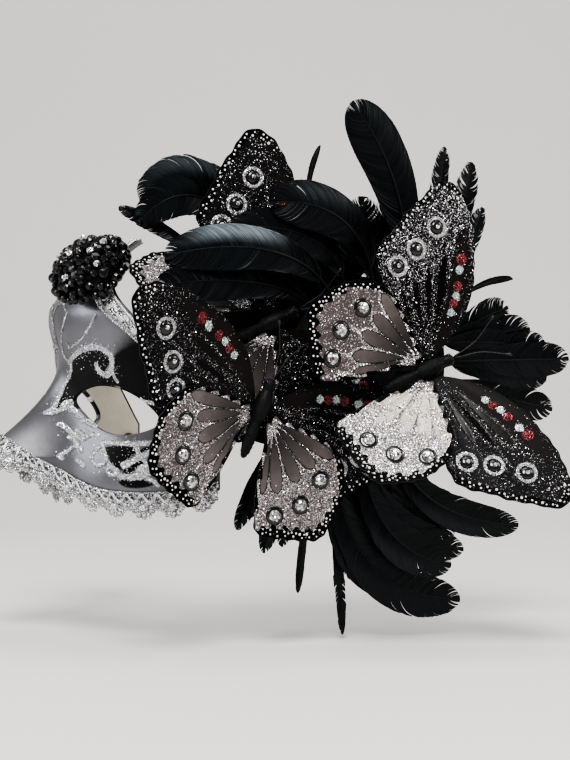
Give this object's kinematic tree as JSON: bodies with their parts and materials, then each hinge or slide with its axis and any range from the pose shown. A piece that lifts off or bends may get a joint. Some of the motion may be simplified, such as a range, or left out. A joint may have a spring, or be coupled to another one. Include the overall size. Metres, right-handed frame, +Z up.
{
  "type": "venetian masquerade mask",
  "caption": "Half-face masquerade mask with eye openings, lace edging, a beaded brooch, feathers and hinged butterfly ornaments on one side.",
  "frame": {"origin": "outer face of the bridge of the nose, in the mask's plane of symmetry", "axes": "+Z up, -Y the way the wearer faces, +X the wearer's left, where the ornaments are"},
  "size_m": [0.2413, 0.3062, 0.2836],
  "materials": {
    "silver_paint": "satin silver metallic paint over papier-mache",
    "silver_lace": "woven metallic silver thread with glitter",
    "black_metal": "black painted metal",
    "black_bead": "faceted glossy black beads with small clear stones",
    "black_felt": "black felt over a stiff core",
    "forewing": "printed black wing with silver glitter and white dots",
    "hindwing": "translucent grey-pink wing with silver glitter and clear stones",
    "black_plush": "black fuzzy wrapped body",
    "black_wire": "black lacquered wire",
    "black_feather": "glossy black feather with a blue-green sheen"
  },
  "bodies": {
    "mask": {"mask_shell": "silver_paint", "lower_lace": "silver_lace", "upper_braid_left": "silver_lace", "upper_braid_right": "silver_lace", "ribbon_eyelet_left": "black_metal", "ribbon_eyelet_right": "black_metal", "brooch_plate": "black_metal", "brooch_beads": "black_bead", "spray_base": "black_felt", "feather_pad": "black_felt", "feather_plume_upright": "black_feather", "feather_plume_curl": "black_feather", "feather_wisp_front": "black_feather", "feather_sweep_front": "black_feather", "feather_sweep_low": "black_feather", "feather_sweep_upper": "black_feather", "feather_sweep_middle": "black_feather", "feather_mass_front": "black_feather", "feather_mass_back": "black_feather", "feather_spike_front": "black_feather", "feather_spike_back": "black_feather", "feather_spike_low": "black_feather", "feather_quill_back": "black_feather", "feather_back_upper": "black_feather", "feather_back_middle": "black_feather", "feather_back_lower": "black_feather", "feather_tail_long": "black_feather", "feather_tail_crescent": "black_feather", "feather_tail_inner": "black_feather", "feather_tail_fill": "black_feather", "feather_tail_under": "black_feather", "feather_tail_point": "black_feather", "feather_small_front": "black_feather", "feather_small_middle": "black_feather", "feather_small_back": "black_feather", "feather_small_point": "black_feather", "feather_thin_top": "black_feather", "butterfly_1_body": "black_plush", "butterfly_1_antennae": "black_wire", "butterfly_1_stem": "black_wire", "butterfly_2_body": "black_plush", "butterfly_2_antennae": "black_wire", "butterfly_2_stem": "black_wire", "butterfly_3_body": "black_plush", "butterfly_3_antennae": "black_wire", "butterfly_3_stem": "black_wire", "butterfly_3_hindwing_left": "hindwing", "butterfly_3_forewing_right": "forewing", "butterfly_3_hindwing_right": "hindwing"},
    "butterfly_1_wings_left": {"butterfly_1_forewing_left": "forewing", "butterfly_1_hindwing_left": "hindwing"},
    "butterfly_1_wings_right": {"butterfly_1_forewing_right": "forewing", "butterfly_1_hindwing_right": "hindwing"},
    "butterfly_2_wings_left": {"butterfly_2_forewing_left": "forewing", "butterfly_2_hindwing_left": "hindwing"},
    "butterfly_2_wings_right": {"butterfly_2_forewing_right": "forewing", "butterfly_2_hindwing_right": "hindwing"},
    "butterfly_3_wings_left": {"butterfly_3_forewing_left": "forewing"}
  },
  "joints": [
    {"name": "butterfly_1_flap_left", "type": "hinge", "parent": "mask", "child": "butterfly_1_wings_left", "pos_m": [0.10567, 0.07118, -0.02107], "axis": [0, 0.3712, 0.9285], "range_deg": [0, 35]},
    {"name": "butterfly_1_flap_right", "type": "hinge", "parent": "mask", "child": "butterfly_1_wings_right", "pos_m": [0.10493, 0.08082, -0.02493], "axis": [0, -0.3712, -0.9285], "range_deg": [0, 14]},
    {"name": "butterfly_2_flap_left", "type": "hinge", "parent": "mask", "child": "butterfly_2_wings_left", "pos_m": [0.11531, 0.16204, 0.00072], "axis": [0, 0.9238, 0.3829], "range_deg": [0, 35]},
    {"name": "butterfly_2_flap_right", "type": "hinge", "parent": "mask", "child": "butterfly_2_wings_right", "pos_m": [0.11729, 0.16595, -0.00872], "axis": [0, -0.9238, -0.3829], "range_deg": [0, 20]},
    {"name": "butterfly_3_flap_left", "type": "hinge", "parent": "mask", "child": "butterfly_3_wings_left", "pos_m": [0.0963, 0.08389, 0.02475], "axis": [0, 0.9135, 0.4068], "range_deg": [0, 6]}
  ]
}
